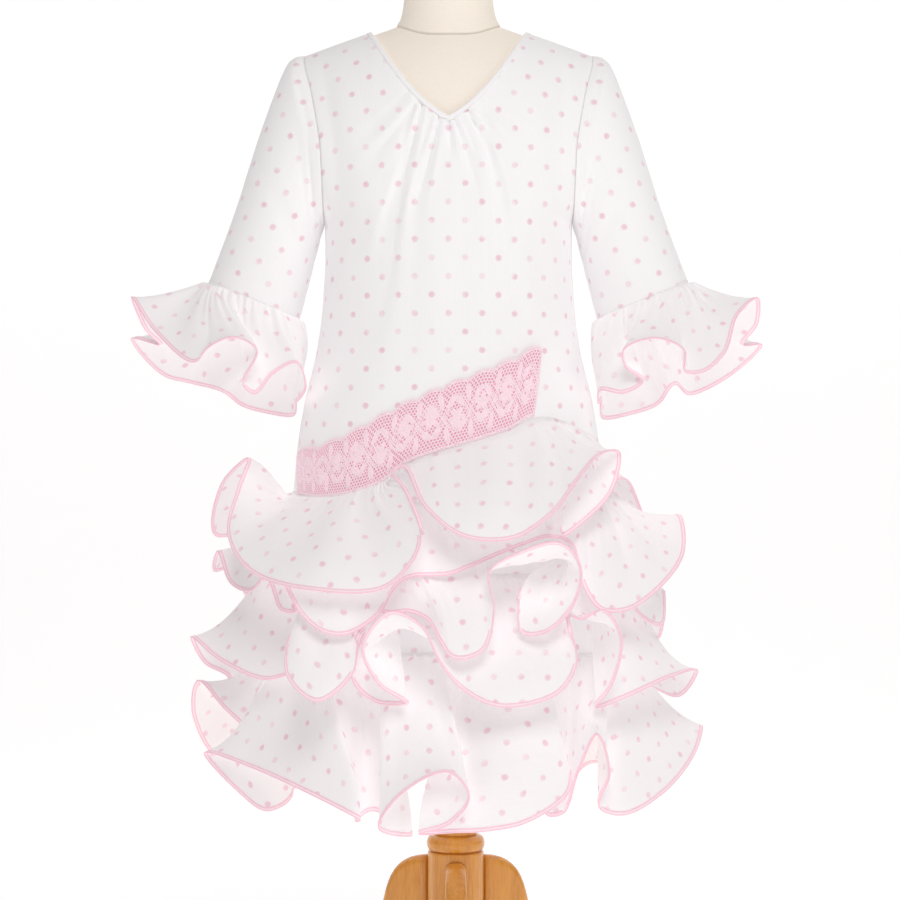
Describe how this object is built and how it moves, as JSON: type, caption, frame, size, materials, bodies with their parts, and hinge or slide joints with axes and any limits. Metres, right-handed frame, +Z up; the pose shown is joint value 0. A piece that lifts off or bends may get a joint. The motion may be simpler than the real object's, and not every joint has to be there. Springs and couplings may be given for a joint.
{
  "type": "flamenco dress on a limbless dress form with a wooden stand",
  "caption": "Child's ruffled flamenco dress with a V neck, flounced cuffs and a diagonal lace band, on a limbless form with a turned wooden stand.",
  "frame": {"origin": "on the floor under the middle of the whole object's box", "axes": "+Z up along the stand, +X to the right of someone who faces the front of the dress, which looks along -Y"},
  "size_m": [0.6394, 0.4468, 1.151],
  "materials": {
    "dotted_cloth": "matt white cotton with small pink dots",
    "binding_cloth": "matt white bias strip",
    "pink_lace": "matt pink crochet lace",
    "cream_linen": "matt cream cotton jersey",
    "amber_wood": "glossy amber varnish"
  },
  "bodies": {
    "root": {"dress_front": "dotted_cloth", "dress_back": "dotted_cloth", "sleeve_left": "dotted_cloth", "sleeve_right": "dotted_cloth", "ruffle_1": "dotted_cloth", "ruffle_2": "dotted_cloth", "ruffle_3": "dotted_cloth", "ruffle_4": "dotted_cloth", "ruffle_5": "dotted_cloth", "cuff_ruffle_left": "dotted_cloth", "cuff_ruffle_right": "dotted_cloth", "neck_binding": "binding_cloth", "lace_band": "pink_lace", "form_torso": "cream_linen", "form_neck": "cream_linen", "stand_column": "amber_wood", "leg_front": "amber_wood", "leg_left": "amber_wood", "leg_right": "amber_wood"}
  },
  "joints": []
}
